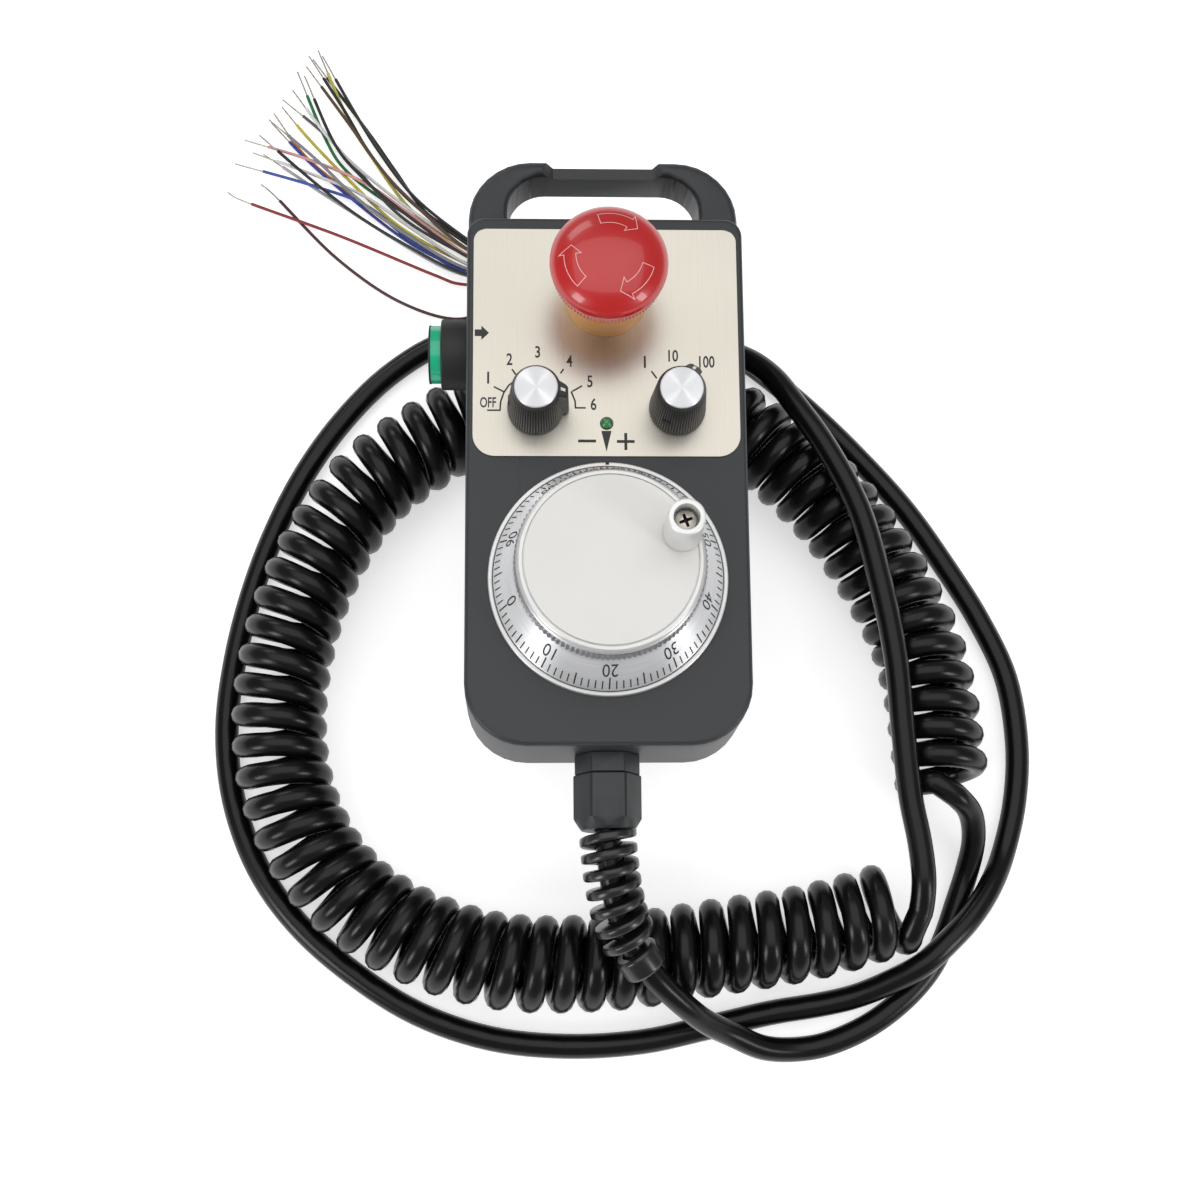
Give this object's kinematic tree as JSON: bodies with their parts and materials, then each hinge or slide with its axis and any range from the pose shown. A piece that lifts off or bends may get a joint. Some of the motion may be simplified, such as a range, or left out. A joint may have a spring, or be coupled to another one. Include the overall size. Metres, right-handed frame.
{
  "type": "hand-held manual pulse generator pendant",
  "caption": "Hand-held pulse generator pendant with a graduated handwheel, rotary selectors, emergency stop, side enable button and a curly cable with a stripped end.",
  "frame": {"origin": "the point on the table straight under the axis of the handwheel", "axes": "+X to the right of the face, +Y from the handwheel to the handle loop, +Z out of the face"},
  "size_m": [0.2245, 0.2925, 0.0936],
  "materials": {
    "case_black": "fine moulded texture, satin",
    "seal_rubber": "soft",
    "plated_steel": "zinc plated",
    "brushed_plate": "fine upright brushing",
    "bright_rim": "turned bright",
    "dial_chrome": "satin chrome with black engraved graduations",
    "satin_disc": "fine satin",
    "satin_crank": "fine satin",
    "dark_plastic": "moulded",
    "board_green": "lacquered",
    "stop_red": "gloss",
    "stop_yellow": "gloss",
    "knob_black": "satin, ribbed",
    "spun_cap": "spun",
    "lamp_green": "translucent",
    "button_green": "translucent",
    "gland_black": "moulded polyamide",
    "cable_sheath": "smooth, glossy",
    "wire_sleeves": "smooth coloured sleeves"
  },
  "bodies": {
    "pendant": {"front_shell": "case_black", "rear_shell": "case_black", "case_gasket": "seal_rubber", "case_screws": "plated_steel", "legend_plate": "brushed_plate", "dial_bezel": "bright_rim", "shaft_bearings": "plated_steel", "encoder_body": "dark_plastic", "encoder_board": "board_green", "encoder_nuts": "plated_steel", "estop_collar": "stop_yellow", "estop_spring": "plated_steel", "estop_bushing": "dark_plastic", "estop_nut": "dark_plastic", "estop_contacts": "dark_plastic", "axis_switch": "dark_plastic", "axis_nut": "plated_steel", "multiplier_switch": "dark_plastic", "multiplier_nut": "plated_steel", "lamp_lens": "lamp_green", "lamp_holder": "dark_plastic", "enable_collar": "case_black", "enable_spring": "plated_steel", "enable_switch": "dark_plastic", "enable_nut": "plated_steel", "gland_body": "gland_black", "gland_locknut": "gland_black", "gland_seal": "seal_rubber", "spiral_relief": "gland_black", "terminal_board": "board_green", "cable_lead": "cable_sheath", "cable_coil": "cable_sheath", "cable_tail": "cable_sheath", "lead_wires": "wire_sleeves"},
    "handwheel": {"graduated_dial": "dial_chrome", "knurled_drum": "bright_rim", "face_disc": "satin_disc", "crank_screw": "plated_steel", "encoder_shaft": "plated_steel", "code_disc": "plated_steel"},
    "crank": {"crank_sleeve": "satin_crank"},
    "axis_selector": {"axis_knob": "knob_black", "axis_cap": "spun_cap", "axis_set_screw": "plated_steel", "axis_shaft": "plated_steel"},
    "multiplier_selector": {"multiplier_knob": "knob_black", "multiplier_cap": "spun_cap", "multiplier_set_screw": "plated_steel", "multiplier_shaft": "plated_steel"},
    "stop_plunger": {"estop_stem": "dark_plastic"},
    "stop_head": {"estop_head": "stop_red"},
    "enable": {"enable_button": "button_green"}
  },
  "joints": [
    {"name": "handwheel_turn", "type": "hinge", "parent": "pendant", "child": "handwheel", "pos_m": [0, 0, 0.058], "axis": [0, 0, 1], "continuous": true},
    {"name": "crank_spin", "type": "hinge", "parent": "handwheel", "child": "crank", "pos_m": [0.01715, 0.00638, 0.09], "axis": [0, 0, 1], "continuous": true},
    {"name": "axis_select", "type": "hinge", "parent": "pendant", "child": "axis_selector", "pos_m": [-0.018, 0.0445, 0.058], "axis": [0, 0, 1], "range_deg": [0, 180]},
    {"name": "multiplier_select", "type": "hinge", "parent": "pendant", "child": "multiplier_selector", "pos_m": [0.018, 0.0445, 0.058], "axis": [0, 0, 1], "range_deg": [0, 60]},
    {"name": "stop_push", "type": "slide", "parent": "pendant", "child": "stop_plunger", "axis": [0, 0, 1], "range_m": [-0.004, 0], "deforming": ["estop_spring"]},
    {"name": "stop_twist", "type": "hinge", "parent": "stop_plunger", "child": "stop_head", "pos_m": [0, 0.0745, 0.08], "axis": [0, 0, 1], "range_deg": [-45, 0]},
    {"name": "enable_push", "type": "slide", "parent": "pendant", "child": "enable", "axis": [1, 0, 0], "range_m": [0, 0.0025], "stiffness_N_per_m": 800, "springref_m": -0.001, "deforming": ["enable_spring"]}
  ]
}
